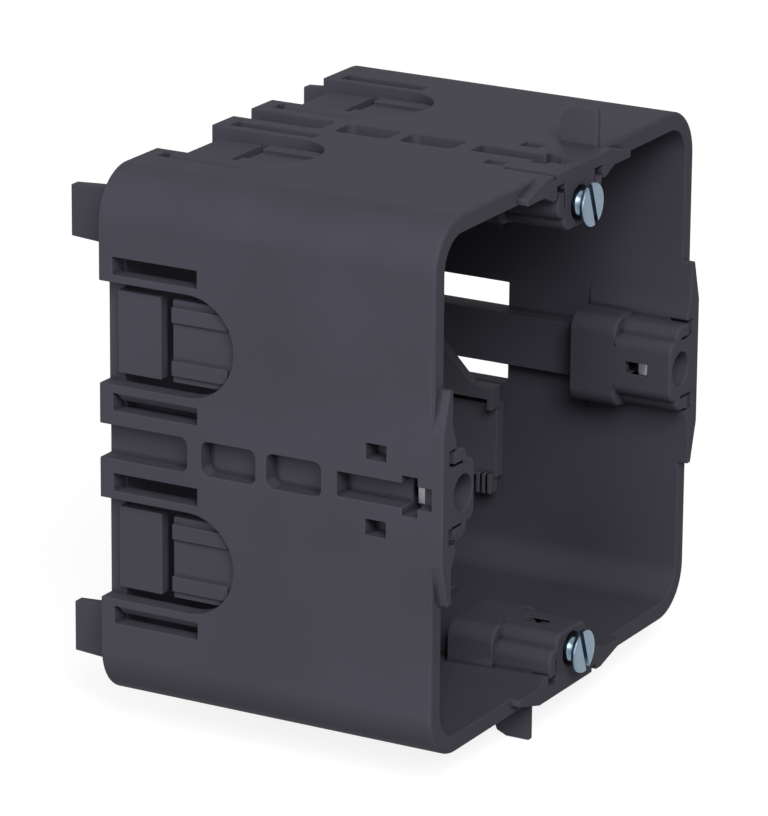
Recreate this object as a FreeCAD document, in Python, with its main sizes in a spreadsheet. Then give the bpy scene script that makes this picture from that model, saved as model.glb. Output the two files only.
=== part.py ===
# Flush mounting box: a square moulded housing for one wiring device, open at
# the front, with a screw boss in the middle of each side.
# The frame: X to the right and Z up as seen from the open front, Y into the box.
# Y is 0 on the faces of the four bosses, where the device plate is screwed on.
import FreeCAD, Part
import math
import os
import Sketcher

os.makedirs("parts", exist_ok=True)
doc = FreeCAD.newDocument("flush_mounting_box")
sheet = doc.addObject("Spreadsheet::Sheet", "Sizes")

ORIGIN_POINT = (-1, 1)
FULL_TURN = 360.0
WALLS = 4


class Size:
    """A number together with the spreadsheet formula that gives it."""

    def __init__(self, formula, value):
        self.formula = formula
        self.value = value

    def _joined(self, other, sign, turned=False):
        other = as_size(other)
        left, right = (other, self) if turned else (self, other)
        value = {
            "+": lambda: left.value + right.value,
            "-": lambda: left.value - right.value,
            "*": lambda: left.value * right.value,
            "/": lambda: left.value / right.value,
        }[sign]()
        return Size("(%s %s %s)" % (left.formula, sign, right.formula), value)

    def __add__(self, other):
        return self._joined(other, "+")

    def __radd__(self, other):
        return self._joined(other, "+", True)

    def __sub__(self, other):
        return self._joined(other, "-")

    def __rsub__(self, other):
        return self._joined(other, "-", True)

    def __mul__(self, other):
        return self._joined(other, "*")

    def __rmul__(self, other):
        return self._joined(other, "*", True)

    def __truediv__(self, other):
        return self._joined(other, "/")

    def __neg__(self):
        return Size("(0 - %s)" % self.formula, -self.value)


def as_size(number):
    """Make a Size of a plain number."""
    if isinstance(number, Size):
        return number
    return Size(repr(float(number)), float(number))


next_row = 1


def size(alias, value, note):
    """Write one driving dimension into the spreadsheet and return it."""
    global next_row
    sheet.set("A%d" % next_row, note)
    sheet.set("B%d" % next_row, str(value))
    sheet.setAlias("B%d" % next_row, alias)
    next_row += 1
    return Size("Sizes.%s" % alias, float(value))


# Driving dimensions, in millimetres and degrees

box_width = size("box_width", 70.3, "outside width and height of the housing")
box_depth = size("box_depth", 48.4, "rim to back of the housing")
wall = size("wall", 2.4, "thickness of the side walls")
back_wall = size("back_wall", 2.4, "thickness of the closed back")
corner_radius = size("corner_radius", 6.7, "outside radius of the long corners")
rim_round = size("rim_round", 0.5, "rounding of the rim's outer edge")

ear_height = size("ear_height", 1.4, "how far the ears stand in front of the rim")
ear_half = size("ear_half", 14.0, "half length of an ear")
ear_flat_half = size("ear_flat_half", 8.5, "half of the ear that is flush outside")
ear_taper = size("ear_taper", 1.5, "how far the ear's ends draw in")

screw_spacing = size("screw_spacing", 60.0, "distance of opposite device screws")
boss_reach = size("boss_reach", 3.0, "plastic between screw axis and boss crown")
boss_length = size("boss_length", 15.0, "whole length of a boss")
boss_front = size("boss_front", 8.3, "length of the stepped front part of a boss")
boss_half = size("boss_half", 6.2, "half width of a boss's rear part")
boss_round = size("boss_round", 2.2, "rounding of the rear part's crown")
foot_half = size("foot_half", 7.2, "half width of the pad a boss stands on")
foot_rise = size("foot_rise", 1.0, "that pad above the inside of the wall")
crown_half = size("crown_half", 4.2, "half width of the front part's crown")
crown_round = size("crown_round", 1.6, "rounding of the front part's crown")
lobe_half = size("lobe_half", 5.9, "half width over the side lobes")
lobe_drop = size("lobe_drop", 1.8, "how far the side lobes lie below the crown")
lobe_round = size("lobe_round", 1.7, "rounding of the side lobes")
lobe_slit = size("lobe_slit", 1.2, "width of the slit between lobe and wall")
lobe_slit_open = size("lobe_slit_open", 0.45, "part of that slit inside the wall's face")
lobe_slit_inner = size("lobe_slit_inner", 4.0, "near end of that slit")
lobe_slit_length = size("lobe_slit_length", 2.6, "depth of that slit")
lobe_gap = size("lobe_gap", 0.3, "gap between a lobe's side and the pad")
fine_slit = size("fine_slit", 0.3, "width of the fine slit beside a lobe")
fine_slit_reach = size("fine_slit_reach", 2.1, "length of the fine slit")
fine_slit_depth = size("fine_slit_depth", 1.5, "depth of the fine slit")
lobe_window_inner = size("lobe_window_inner", 3.9, "near edge of the small windows")
lobe_window_outer = size("lobe_window_outer", 6.0, "far edge of the small windows")
lobe_window_start = size("lobe_window_start", 8.1, "front edge of the small windows")
lobe_window_length = size("lobe_window_length", 2.9, "length of the small windows")
lobe_window_depth = size("lobe_window_depth", 3.0, "depth of the small windows")

entry_radius = size("entry_radius", 2.35, "radius of the wide screw entry")
bore_radius = size("bore_radius", 1.6, "radius of the screw channel")
bore_end = size("bore_end", 13.8, "depth of the screw channel")

nut_slot_start = size("nut_slot_start", 3.65, "front face of the nut slot")
nut_slot_length = size("nut_slot_length", 2.2, "nut slot along the screw")
nut_slot_half = size("nut_slot_half", 2.6, "half height of the nut slot")
nut_slot_bottom = size("nut_slot_bottom", 2.75, "nut slot beyond the screw axis")
nose_slot_start = size("nose_slot_start", 1.65, "front end of the shallow slot")
nose_slot_half = size("nose_slot_half", 1.45, "half height of the shallow slot")
nose_slot_depth = size("nose_slot_depth", 1.9, "depth of the shallow slot")
channel_slot_end = size("channel_slot_end", 15.1, "rear end of the long slot")
channel_slot_depth = size("channel_slot_depth", 3.1, "depth of the long slot")
sight_start = size("sight_start", 3.5, "front edge of the sight hole in the crown")
sight_length = size("sight_length", 3.3, "length of the sight hole")
sight_half = size("sight_half", 0.8, "half height of the sight hole")

nut_thickness = size("nut_thickness", 1.25, "thickness of the nut plates")
nut_gap = size("nut_gap", 0.05, "clearance around a nut plate")
nut_body_length = size("nut_body_length", 4.6, "square end of a nut plate")
nut_tail_half = size("nut_tail_half", 1.6, "half width of a nut plate's tail")
nut_tail_gap = size("nut_tail_gap", 2.6, "tail end below the housing's outside")
thread_radius = size("thread_radius", 1.45, "radius of the screw over its thread")
thread_gap = size("thread_gap", 0.05, "clearance between screw and nut")

head_radius = size("head_radius", 2.85, "radius of the countersunk screw head")
head_rim = size("head_rim", 0.55, "height of the head's straight rim")
head_cone = size("head_cone", 1.4, "height of the head's cone")
head_stand = size("head_stand", 1.95, "head face in front of the boss")
screw_length = size("screw_length", 14.0, "whole length of a screw")
screw_slot_width = size("screw_slot_width", 0.75, "width of the driver slot")
screw_slot_depth = size("screw_slot_depth", 1.1, "depth of the driver slot")
screw_slot_angle = size("screw_slot_angle", 20.0, "slot's lean from the vertical")
screw_tip = size("screw_tip", 0.4, "chamfer of the screw's tip")

ridge_half = size("ridge_half", 3.6, "half width of the inner ridges")
ridge_rise = size("ridge_rise", 2.5, "height of the inner ridges")
pocket_half = size("pocket_half", 2.25, "half height of the outer pockets")
pocket_depth = size("pocket_depth", 2.6, "depth of the outer pockets")
pocket_round = size("pocket_round", 1.0, "corner radius of the outer pockets")
pocket_one_start = size("pocket_one_start", 17.4, "front of the first pocket")
pocket_two_start = size("pocket_two_start", 26.9, "front of the second pocket")
pocket_length = size("pocket_length", 7.9, "length of the first two pockets")
pocket_last_start = size("pocket_last_start", 36.9, "front of the open pocket")

entry_centre = size("entry_centre", 14.35, "cable entry's middle from the ridge")
entry_half = size("entry_half", 6.72, "half width of a cable entry")
entry_length = size("entry_length", 19.7, "length of a cable entry from the back")
entry_recess = size("entry_recess", 1.3, "cable entry's floor below the outside")
flap_half = size("flap_half", 5.45, "half width of the flap and the tongue")
flap_thickness = size("flap_thickness", 1.7, "thickness of the flap and the tongue")
flap_length = size("flap_length", 6.4, "length of the thin flap")
flap_split = size("flap_split", 1.75, "gap between the flap and the tongue")
back_step = size("back_step", 2.45, "depth of the notches in the back edge")
back_step_length = size("back_step_length", 2.0, "length of those notches")
tongue_rib_offset = size("tongue_rib_offset", 3.5, "rib's middle from the tongue's")
tongue_rib_width = size("tongue_rib_width", 2.05, "width of a tongue rib")
tongue_rib_height = size("tongue_rib_height", 0.45, "height of a tongue rib")

tie_slot_height = size("tie_slot_height", 2.3, "height of the cable tie slots")
tie_slot_length = size("tie_slot_length", 12.4, "length of the cable tie slots")
tie_slot_back = size("tie_slot_back", 2.0, "plastic behind the cable tie slots")
tie_slot_inner = size("tie_slot_inner", 4.2, "inner slot's near edge from the ridge")
tie_slot_outer = size("tie_slot_outer", 22.1, "outer slot's near edge from the ridge")
tie_ramp = size("tie_ramp", 1.1, "width and depth of the ramp in a tie slot")
tie_ramp_end = size("tie_ramp_end", 0.7, "open end of a tie slot behind its ramp")

window_start = size("window_start", 27.45, "front end of the right wall's windows")
window_near = size("window_near", 3.2, "window edge from the middle of the wall")
window_height = size("window_height", 3.95, "height of a window")

hook_offset = size("hook_offset", 7.5, "snap hook's side face from the middle")
hook_thickness = size("hook_thickness", 1.0, "thickness of a snap hook")
hook_start = size("hook_start", 1.6, "front face of a snap hook")
hook_length = size("hook_length", 5.3, "length of a snap hook")
hook_height = size("hook_height", 5.1, "height of a snap hook")
hook_round = size("hook_round", 2.0, "ramp radius of a snap hook")
relief_far = size("relief_far", 7.2, "groove's far edge from the middle of the wall")
relief_length = size("relief_length", 7.4, "length of that groove")
relief_width = size("relief_width", 1.2, "width of that groove")
relief_depth = size("relief_depth", 0.8, "depth of that groove")

tab_face = size("tab_face", 30.0, "outer face of the rear tabs from the middle")
tab_thickness = size("tab_thickness", 1.6, "thickness of the rear tabs")
tab_length = size("tab_length", 7.3, "rear tabs behind the housing")
tab_low = size("tab_low", 24.1, "near edge of the rear tabs")
tab_high = size("tab_high", 31.9, "far edge of the rear tabs")
tab_draft = size("tab_draft", 0.5, "taper of the rear tabs' edges")

clamp_gap = size("clamp_gap", 0.05, "clearance of the cable clamp")
clamp_start = size("clamp_start", 27.9, "front end of the cable clamp's plate")
clamp_end = size("clamp_end", 45.0, "rear end of the cable clamp")
clamp_thickness = size("clamp_thickness", 2.0, "thickness of the clamp's plate")
clamp_top = size("clamp_top", 9.7, "clamp plate's upper edge below the middle")
clamp_height = size("clamp_height", 10.5, "height of the clamp's plate")
clamp_bar_height = size("clamp_bar_height", 2.6, "height of the clamp's bar")
clamp_bar_reach = size("clamp_bar_reach", 2.05, "bar in front of the plate")
clamp_bar_block = size("clamp_bar_block", 0.8, "length of the bar's solid front end")
clamp_bar_relief = size("clamp_bar_relief", 1.5, "height of the gap under the bar")
clamp_relief_end = size("clamp_relief_end", 36.0, "rear end of the gap under the bar")
clamp_rib_start = size("clamp_rib_start", 2.7, "rib's foot behind the bar's front")
clamp_rib_rise = size("clamp_rib_rise", 7.4, "height of the clamp's sloping rib")
clamp_tooth_width = size("clamp_tooth_width", 0.55, "width of a clamp tooth")
clamp_tooth_pitch = size("clamp_tooth_pitch", 0.85, "distance of the clamp teeth")
clamp_tooth_rise = size("clamp_tooth_rise", 0.7, "teeth above the plate's lower edge")
clamp_tooth_drop = size("clamp_tooth_drop", 2.1, "length of the clamp teeth")
clamp_teeth = 3
clamp_hook_start = size("clamp_hook_start", 40.0, "front of the clamp's hook")
clamp_hook_length = size("clamp_hook_length", 4.0, "length of the clamp's hook")
clamp_hook_lip = size("clamp_hook_lip", 0.9, "hook's lip outside the wall")

guide_low = size("guide_low", 15.2, "lower edge of the upper guide rib")
guide_height = size("guide_height", 3.8, "height of the upper guide rib")
guide_rise = size("guide_rise", 2.0, "guide rib above the inside of the wall")

doc.recompute()

# Places worked out from the driving dimensions

half_width = box_width / 2
inner_half = half_width - wall
rim_y = ear_height
back_y = rim_y + box_depth
floor_y = back_y - back_wall
axis_at = screw_spacing / 2
crown_at = axis_at - boss_reach
lobe_at = crown_at + lobe_drop
foot_at = inner_half - foot_rise
ridge_at = inner_half - ridge_rise
nut_slot_end = nut_slot_start + nut_slot_length
entry_arc_y = back_y - entry_length + entry_half
flap_rear_y = back_y - back_step_length
flap_front_y = flap_rear_y - flap_length
tongue_rear_y = flap_front_y - flap_split
tie_rear_y = back_y - tie_slot_back
tie_front_y = tie_rear_y - tie_slot_length
merge = as_size(0.3)


# Sketch helpers

def body_named(label):
    """Add a PartDesign body that exports as one node."""
    body = doc.addObject("PartDesign::Body", label)
    body.Label = label
    return body


def sketch_on(body, label, role, height):
    """Attach a sketch to one of the body's own planes, lifted along its normal."""
    plane = [o for o in body.Origin.OriginFeatures if o.Role == role][0]
    sketch = body.newObject("Sketcher::SketchObject", label)
    sketch.AttachmentSupport = [(plane, "")]
    sketch.MapMode = "FlatFace"
    height = as_size(height)
    sketch.AttachmentOffset = FreeCAD.Placement(
        FreeCAD.Vector(0, 0, height.value), FreeCAD.Rotation())
    sketch.setExpression("AttachmentOffset.Base.z", height.formula)
    return sketch


def cross_sketch(body, label, depth):
    """Sketch across the box at a depth y: sketch x is X and sketch y is Z."""
    return sketch_on(body, label, "XZ_Plane", -as_size(depth))


def side_sketch(body, label, place):
    """Sketch along a side at a place x: sketch x is Y and sketch y is Z."""
    return sketch_on(body, label, "YZ_Plane", place)


def pin_point(sketch, geometry, point, across, up):
    """Tie one point to the sketch origin by two sizes from the sheet."""
    for kind, distance in (("DistanceX", as_size(across)), ("DistanceY", as_size(up))):
        first, second = ORIGIN_POINT, (geometry, point)
        if distance.value < 0:
            first, second = second, first
            distance = -distance
        index = sketch.addConstraint(
            Sketcher.Constraint(kind, *first, *second, distance.value))
        sketch.setExpression("Constraints[%d]" % index, distance.formula)


def polygon(sketch, corners):
    """Closed outline of straight lines with every corner tied to sizes."""
    points = [FreeCAD.Vector(as_size(u).value, as_size(v).value, 0) for u, v in corners]
    start = sketch.GeometryCount
    count = len(points)
    for i in range(count):
        sketch.addGeometry(Part.LineSegment(points[i], points[(i + 1) % count]), False)
    for i in range(count):
        sketch.addConstraint(Sketcher.Constraint(
            "Coincident", start + i, 2, start + (i + 1) % count, 1))
    for i, (across, up) in enumerate(corners):
        pin_point(sketch, start + i, 1, across, up)


def rectangle(sketch, left, right, low, high):
    """Rectangle between four sizes."""
    polygon(sketch, [(left, low), (right, low), (right, high), (left, high)])


def rounded_rectangle(sketch, left, right, low, high, radius):
    """Rectangle with four equal round corners."""
    l, r, b, t, q = (as_size(v).value for v in (left, right, low, high, radius))
    start = sketch.GeometryCount
    lines = [((l + q, b), (r - q, b)), ((r, b + q), (r, t - q)),
             ((r - q, t), (l + q, t)), ((l, t - q), (l, b + q))]
    centres = [(r - q, b + q), (r - q, t - q), (l + q, t - q), (l + q, b + q)]
    for i in range(4):
        first, last = lines[i]
        sketch.addGeometry(Part.LineSegment(
            FreeCAD.Vector(*first, 0), FreeCAD.Vector(*last, 0)), False)
        circle = Part.Circle(FreeCAD.Vector(*centres[i], 0), FreeCAD.Vector(0, 0, 1), q)
        turn = math.radians(-90 + 90 * i)
        sketch.addGeometry(Part.ArcOfCircle(circle, turn, turn + math.pi / 2), False)
    for i in range(4):
        line, arc = start + 2 * i, start + 2 * i + 1
        sketch.addConstraint(Sketcher.Constraint("Tangent", line, 2, arc, 1))
        sketch.addConstraint(Sketcher.Constraint(
            "Tangent", arc, 2, start + (2 * i + 2) % 8, 1))
        kind = "Horizontal" if i % 2 == 0 else "Vertical"
        sketch.addConstraint(Sketcher.Constraint(kind, line))
        if i:
            sketch.addConstraint(Sketcher.Constraint("Equal", start + 1, arc))
    index = sketch.addConstraint(Sketcher.Constraint("Radius", start + 1, q))
    sketch.setExpression("Constraints[%d]" % index, as_size(radius).formula)
    pin_point(sketch, start + 7, 3, left + radius, low + radius)
    pin_point(sketch, start + 3, 3, right - radius, high - radius)


def disc(sketch, across, up, radius):
    """Full circle at a place given by sizes."""
    radius = as_size(radius)
    centre = FreeCAD.Vector(as_size(across).value, as_size(up).value, 0)
    circle = Part.Circle(centre, FreeCAD.Vector(0, 0, 1), radius.value)
    geometry = sketch.addGeometry(circle, False)
    index = sketch.addConstraint(Sketcher.Constraint("Radius", geometry, radius.value))
    sketch.setExpression("Constraints[%d]" % index, radius.formula)
    if as_size(up).value == 0:
        sketch.addConstraint(Sketcher.Constraint("PointOnObject", geometry, 3, -1))
        index = sketch.addConstraint(Sketcher.Constraint(
            "DistanceX", -1, 1, geometry, 3, centre.x))
        sketch.setExpression("Constraints[%d]" % index, as_size(across).formula)
    else:
        pin_point(sketch, geometry, 3, across, up)


def pad(body, label, sketch, length, backwards=False):
    """Add material along the sketch normal, or against it."""
    feature = body.newObject("PartDesign::Pad", label)
    feature.Profile = sketch
    feature.Length = as_size(length).value
    feature.setExpression("Length", as_size(length).formula)
    feature.Reversed = backwards
    return feature


def pocket(body, label, sketch, length, along=False):
    """Cut material against the sketch normal, or along it."""
    feature = body.newObject("PartDesign::Pocket", label)
    feature.Profile = sketch
    feature.Length = as_size(length).value
    feature.setExpression("Length", as_size(length).formula)
    feature.Reversed = along
    return feature


def around(body, label, features, count, angle=FULL_TURN):
    """Repeat features around the box's own Y axis."""
    axis = [o for o in body.Origin.OriginFeatures if o.Role == "Y_Axis"][0]
    pattern = body.newObject("PartDesign::PolarPattern", label)
    pattern.Originals = features
    pattern.Axis = (axis, [""])
    pattern.Angle = angle
    pattern.Occurrences = count
    body.Tip = pattern
    return pattern


# Housing

housing = body_named("housing")

outline = cross_sketch(housing, "outline", back_y)
rounded_rectangle(outline, -half_width, half_width, -half_width, half_width, corner_radius)
block = pad(housing, "block", outline, box_depth)

cavity_outline = cross_sketch(housing, "cavity_outline", rim_y)
rounded_rectangle(cavity_outline, -inner_half, inner_half, -inner_half, inner_half,
                  corner_radius - wall)
cavity = pocket(housing, "cavity", cavity_outline, box_depth - back_wall)
doc.recompute()


def rim_edges(shape):
    """Names of the edges that run around the outside of the rim."""
    names = []
    for number, edge in enumerate(shape.Edges, 1):
        box = edge.BoundBox
        at_rim = abs(box.YMin - rim_y.value) < 1e-6 and abs(box.YMax - rim_y.value) < 1e-6
        reach = max(abs(box.XMin), abs(box.XMax), abs(box.ZMin), abs(box.ZMax))
        if at_rim and reach > half_width.value - 1e-6:
            names.append("Edge%d" % number)
    return names


rim_fillet = housing.newObject("PartDesign::Fillet", "rim_fillet")
rim_fillet.Base = (cavity, rim_edges(cavity.Shape))
rim_fillet.Radius = rim_round.value
rim_fillet.setExpression("Radius", rim_round.formula)
housing.Tip = rim_fillet

# Ears and screw bosses, drawn on the left wall and turned to all four

ear_outline = cross_sketch(housing, "ear_outline", rim_y + wall)
polygon(ear_outline, [
    (-half_width, -ear_flat_half), (-half_width, ear_flat_half),
    (ear_taper - half_width, ear_half), (-inner_half, ear_half),
    (-inner_half, -ear_half), (ear_taper - half_width, -ear_half)])
ear = pad(housing, "ear", ear_outline, ear_height + wall)

rear_outline = cross_sketch(housing, "boss_rear_outline", boss_length)
rounded_rectangle(rear_outline, -half_width + 0.5, -crown_at, -boss_half, boss_half,
                  boss_round)
boss_rear = pad(housing, "boss_rear", rear_outline, boss_length - boss_front)

crown_outline = cross_sketch(housing, "boss_crown_outline", boss_front + merge)
rounded_rectangle(crown_outline, -half_width + 0.5, -crown_at, -crown_half, crown_half,
                  crown_round)
boss_crown = pad(housing, "boss_crown", crown_outline, boss_front + merge)

lobe_outline = cross_sketch(housing, "boss_lobe_outline", boss_front + merge)
rounded_rectangle(lobe_outline, -half_width + 0.5, -lobe_at, -lobe_half, lobe_half,
                  lobe_round)
boss_lobes = pad(housing, "boss_lobes", lobe_outline, boss_front + merge)

foot_outline = cross_sketch(housing, "boss_foot_outline", boss_length)
rectangle(foot_outline, -inner_half - merge, -foot_at, -foot_half, foot_half)
boss_foot = pad(housing, "boss_foot", foot_outline, boss_length)

ridge_outline = cross_sketch(housing, "ridge_outline", floor_y + merge)
rectangle(ridge_outline, -inner_half - merge, -ridge_at, -ridge_half, ridge_half)
ridge = pad(housing, "ridge", ridge_outline, floor_y + merge - boss_length + merge)
around(housing, "four_bosses",
       [ear, boss_rear, boss_crown, boss_lobes, boss_foot, ridge], WALLS)

# Snap hooks on top and bottom, and the shallow groove opposite each hook

hook_outline = side_sketch(housing, "hook_outline", hook_offset)
hook_foot = half_width - merge
hook_end = hook_start + hook_length
polygon(hook_outline, [
    (hook_start, hook_foot), (hook_end, hook_foot),
    (hook_end, half_width + hook_height - hook_round),
    (hook_end - hook_round * 0.3, half_width + hook_height - hook_round * 0.3),
    (hook_end - hook_round, half_width + hook_height),
    (hook_start, half_width + hook_height)])
hook = pad(housing, "hook", hook_outline, hook_thickness)
around(housing, "two_hooks", [hook], 2)

relief_outline = cross_sketch(housing, "relief_outline", -merge)
rectangle(relief_outline, -relief_far, relief_width - relief_far,
          half_width - relief_depth, half_width + merge)
relief = pocket(housing, "relief", relief_outline, relief_length + merge)
around(housing, "two_reliefs", [relief], 2)

# Rear tabs

tab_outline = side_sketch(housing, "tab_outline", -tab_face)
for side in (1, -1):
    polygon(tab_outline, [
        (back_y - merge, side * tab_low), (back_y + tab_length, side * (tab_low + tab_draft)),
        (back_y + tab_length, side * (tab_high - tab_draft)),
        (back_y - merge, side * tab_high)])
tab = pad(housing, "tab", tab_outline, tab_thickness)
around(housing, "rear_tabs", [tab], 2)

# Outer pockets and the screw channel, drawn on the left wall

pockets_outline = side_sketch(housing, "pockets_outline", -half_width)
for start in (pocket_one_start, pocket_two_start):
    rounded_rectangle(pockets_outline, start, start + pocket_length,
                      -pocket_half, pocket_half, pocket_round)
rounded_rectangle(pockets_outline, pocket_last_start, back_y + pocket_round + merge,
                  -pocket_half, pocket_half, pocket_round)
pockets = pocket(housing, "pockets", pockets_outline, pocket_depth, True)

channel_outline = side_sketch(housing, "channel_outline", -half_width)
rectangle(channel_outline, nut_slot_end, channel_slot_end, -bore_radius, bore_radius)
channel = pocket(housing, "channel", channel_outline, channel_slot_depth, True)

nut_slot_outline = side_sketch(housing, "nut_slot_outline", -half_width)
rectangle(nut_slot_outline, nut_slot_start, nut_slot_end, -nut_slot_half, nut_slot_half)
nut_slot = pocket(housing, "nut_slot", nut_slot_outline,
                  half_width - axis_at + nut_slot_bottom, True)

nose_outline = side_sketch(housing, "nose_outline", -half_width)
rectangle(nose_outline, nose_slot_start, nut_slot_start + merge,
          -nose_slot_half, nose_slot_half)
nose = pocket(housing, "nose", nose_outline, nose_slot_depth, True)

sight_outline = side_sketch(housing, "sight_outline", -crown_at + merge)
rectangle(sight_outline, sight_start, sight_start + sight_length, -sight_half, sight_half)
sight = pocket(housing, "sight", sight_outline, merge + boss_reach - bore_radius * 0.6)

entry_outline = cross_sketch(housing, "entry_outline", -merge)
disc(entry_outline, -axis_at, 0, entry_radius)
entry = pocket(housing, "entry", entry_outline, nut_slot_start + 2 * merge)

bore_outline = cross_sketch(housing, "bore_outline", nut_slot_start)
disc(bore_outline, -axis_at, 0, bore_radius)
bore = pocket(housing, "bore", bore_outline, bore_end - nut_slot_start)

slit_outline = cross_sketch(housing, "slit_outline", -merge)
slit_at = inner_half - lobe_slit_open
slit_wall = slit_at + lobe_slit
leg_at = foot_at - merge
leg_outer = lobe_half + lobe_gap
for side in (1, -1):
    polygon(slit_outline, [
        (-slit_wall, side * lobe_slit_inner), (-slit_wall, side * leg_outer),
        (-leg_at, side * leg_outer), (-leg_at, side * lobe_half),
        (-slit_at, side * lobe_half), (-slit_at, side * lobe_slit_inner)])
slits = pocket(housing, "slits", slit_outline, lobe_slit_length + merge)

fine_outline = cross_sketch(housing, "fine_outline", -merge)
for side in (1, -1):
    rectangle(fine_outline, -slit_at - merge, fine_slit_reach - slit_at,
              side * crown_half, side * (crown_half - fine_slit))
fine_slits = pocket(housing, "fine_slits", fine_outline, fine_slit_depth + merge)

lobe_window_outline = side_sketch(housing, "lobe_window_outline", -half_width)
for side in (1, -1):
    rectangle(lobe_window_outline, lobe_window_start,
              lobe_window_start + lobe_window_length,
              side * lobe_window_inner, side * lobe_window_outer)
lobe_windows = pocket(housing, "lobe_windows", lobe_window_outline,
                      lobe_window_depth, True)
around(housing, "four_channels",
       [pockets, channel, nut_slot, nose, sight, entry, bore, slits, fine_slits,
        lobe_windows], WALLS)

# Cable entries with a thin flap and a ribbed tongue, and tie slots beside them,
# drawn on the bottom wall and turned to the left wall and the top

EDGE_PLANE = "XY_Plane"


def wall_sketch(label, height):
    """Sketch on the bottom wall: sketch x is X and sketch y is Y."""
    return sketch_on(housing, label, EDGE_PLANE, height)


def entry_plate(sketch, front, rear, near, far):
    """Two rectangles, one in each cable entry."""
    for side in (1, -1):
        polygon(sketch, [(side * near, front), (side * far, front),
                         (side * far, rear), (side * near, rear)])


entry_near = entry_centre - entry_half
entry_far = entry_centre + entry_half
flap_near = entry_centre - flap_half
flap_far = entry_centre + flap_half

recess_discs = wall_sketch("recess_discs", -half_width)
for side in (1, -1):
    disc(recess_discs, side * entry_centre, entry_arc_y, entry_half)
recess_round = pocket(housing, "recess_round", recess_discs, wall + merge, True)

recess_outline = wall_sketch("recess_outline", -half_width)
entry_plate(recess_outline, entry_arc_y, floor_y, entry_near, entry_far)
recess = pocket(housing, "recess", recess_outline, wall + merge, True)

notch_outline = wall_sketch("notch_outline", -half_width)
entry_plate(notch_outline, floor_y - merge, back_y + merge, entry_near, entry_far)
notch = pocket(housing, "notch", notch_outline, back_step, True)

tongue_outline = wall_sketch("tongue_outline", -half_width + entry_recess)
tongue_front_y = back_y - entry_length - wall
entry_plate(tongue_outline, tongue_front_y, tongue_rear_y, flap_near, flap_far)
tongue = pad(housing, "tongue", tongue_outline, flap_thickness)

flap_outline = wall_sketch("flap_outline", -half_width + entry_recess)
entry_plate(flap_outline, flap_front_y, flap_rear_y, flap_near, flap_far)
flap = pad(housing, "flap", flap_outline, flap_thickness)

rib_outline = wall_sketch("rib_outline", -half_width + entry_recess - tongue_rib_height)
for rib in (1, -1):
    middle = entry_centre + rib * tongue_rib_offset
    entry_plate(rib_outline, entry_arc_y - entry_half * 0.8,
                tongue_rear_y,
                middle - tongue_rib_width / 2, middle + tongue_rib_width / 2)
tongue_ribs = pad(housing, "tongue_ribs", rib_outline, tongue_rib_height + merge)

tie_outline = wall_sketch("tie_outline", -half_width)
for near in (tie_slot_inner, -tie_slot_outer - tie_slot_height):
    polygon(tie_outline, [(near, tie_front_y), (near + tie_slot_height, tie_front_y),
                          (near + tie_slot_height, tie_rear_y), (near, tie_rear_y)])
ramp_rear_y = tie_rear_y - tie_ramp_end
ramped_slots = (-tie_slot_inner - tie_slot_height, tie_slot_outer)
for near in ramped_slots:
    polygon(tie_outline, [(near, ramp_rear_y), (near + tie_ramp, ramp_rear_y),
                          (near + tie_ramp, tie_front_y),
                          (near + tie_slot_height, tie_front_y),
                          (near + tie_slot_height, tie_rear_y), (near, tie_rear_y)])
tie_slots = pocket(housing, "tie_slots", tie_outline, wall + merge, True)

ramp_outline = cross_sketch(housing, "ramp_outline", tie_front_y)
for near in ramped_slots:
    polygon(ramp_outline, [
        (near, -half_width), (near + tie_ramp, tie_ramp - half_width),
        (near + tie_ramp + merge, tie_ramp - half_width),
        (near + tie_ramp + merge, -half_width)])
ramps = pocket(housing, "ramps", ramp_outline, ramp_rear_y + merge - tie_front_y)
around(housing, "three_entry_walls",
       [recess_round, recess, notch, tongue, flap, tongue_ribs, tie_slots, ramps],
       3, FULL_TURN / 2)

# The right wall: two long windows and a guide rib

window_outline = side_sketch(housing, "window_outline", half_width + merge)
for side in (1, -1):
    rectangle(window_outline, window_start, floor_y,
              side * window_near, side * (window_near + window_height))
windows = pocket(housing, "windows", window_outline, wall + 2 * merge)

guide_outline = side_sketch(housing, "guide_outline", inner_half - guide_rise)
rectangle(guide_outline, clamp_start, floor_y + merge, guide_low, guide_low + guide_height)
guide = pad(housing, "guide", guide_outline, guide_rise + merge)
housing.Tip = guide


# Nut plates, pushed into the bosses from outside

def placed(feature, x, y, z, turn):
    """Place a primitive on the left wall's axes and turn it about Y."""
    angle = math.radians(turn)
    x, y, z = as_size(x), as_size(y), as_size(z)
    cosine, sine = round(math.cos(angle)), round(math.sin(angle))
    across = x * cosine + z * sine
    up = z * cosine - x * sine
    feature.Placement = FreeCAD.Placement(
        FreeCAD.Vector(across.value, y.value, up.value),
        FreeCAD.Rotation(FreeCAD.Vector(0, 1, 0), turn))
    feature.setExpression("Placement.Base.x", across.formula)
    feature.setExpression("Placement.Base.y", y.formula)
    feature.setExpression("Placement.Base.z", up.formula)
    return feature


def box_part(label, length, width, height):
    """Part::Box with its sizes bound to the sheet."""
    feature = doc.addObject("Part::Box", label)
    for name, distance in (("Length", length), ("Width", width), ("Height", height)):
        distance = as_size(distance)
        setattr(feature, name, distance.value)
        feature.setExpression(name, distance.formula)
    return feature


def along_y(feature, x, y, z):
    """Stand a round primitive on the screw axis, pointing into the box."""
    x, y, z = as_size(x), as_size(y), as_size(z)
    feature.Placement = FreeCAD.Placement(
        FreeCAD.Vector(x.value, y.value, z.value),
        FreeCAD.Rotation(FreeCAD.Vector(1, 0, 0), -90))
    feature.setExpression("Placement.Base.x", x.formula)
    feature.setExpression("Placement.Base.y", y.formula)
    feature.setExpression("Placement.Base.z", z.formula)
    return feature


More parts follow.
